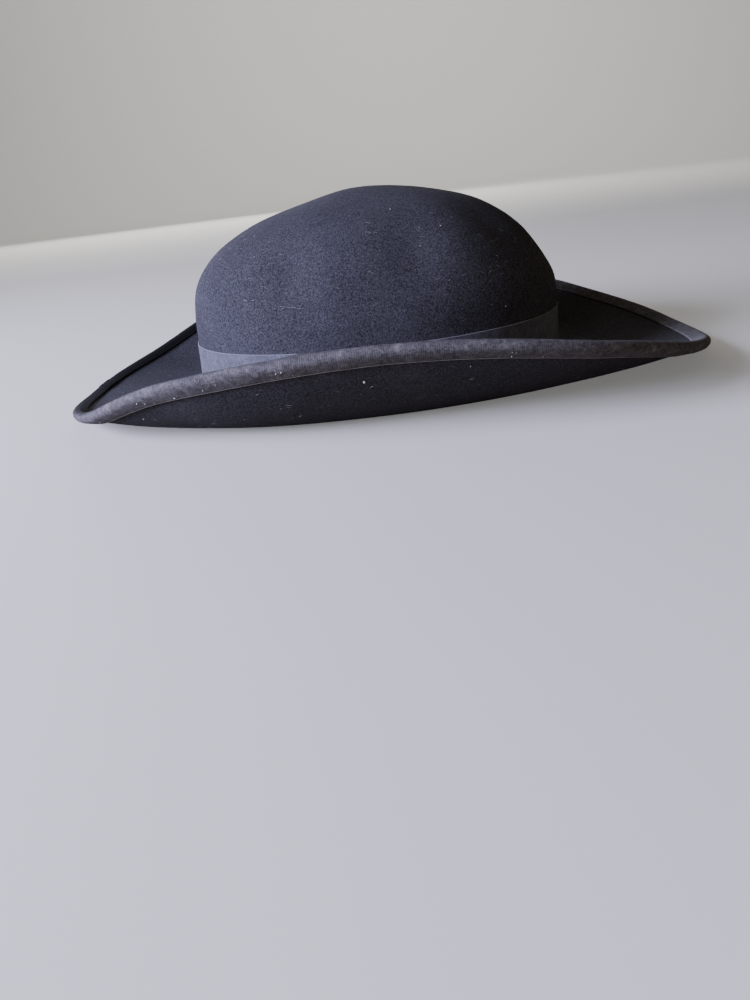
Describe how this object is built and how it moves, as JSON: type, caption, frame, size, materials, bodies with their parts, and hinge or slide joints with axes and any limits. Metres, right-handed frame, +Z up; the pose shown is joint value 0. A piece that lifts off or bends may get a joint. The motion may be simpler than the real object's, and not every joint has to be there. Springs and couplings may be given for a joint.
{
  "type": "priest hat",
  "caption": "Wide-brimmed black felt hat with a round open-bottomed crown, a ribbon round the crown's foot and a tape-bound brim that turns up at the sides.",
  "frame": {"origin": "on the plane the hat rests on, under the middle of its overall length and width", "axes": "+X to the front of the hat, +Y to the wearer's left, +Z up through the crown"},
  "size_m": [0.3712, 0.2918, 0.106],
  "materials": {
    "felt": "matt fur felt, black worn to charcoal",
    "grosgrain": "ribbed grosgrain tape, faded black with a dull sheen"
  },
  "bodies": {
    "root": {"felt_body": "felt", "crown_ribbon": "grosgrain", "brim_binding": "grosgrain"}
  },
  "joints": []
}
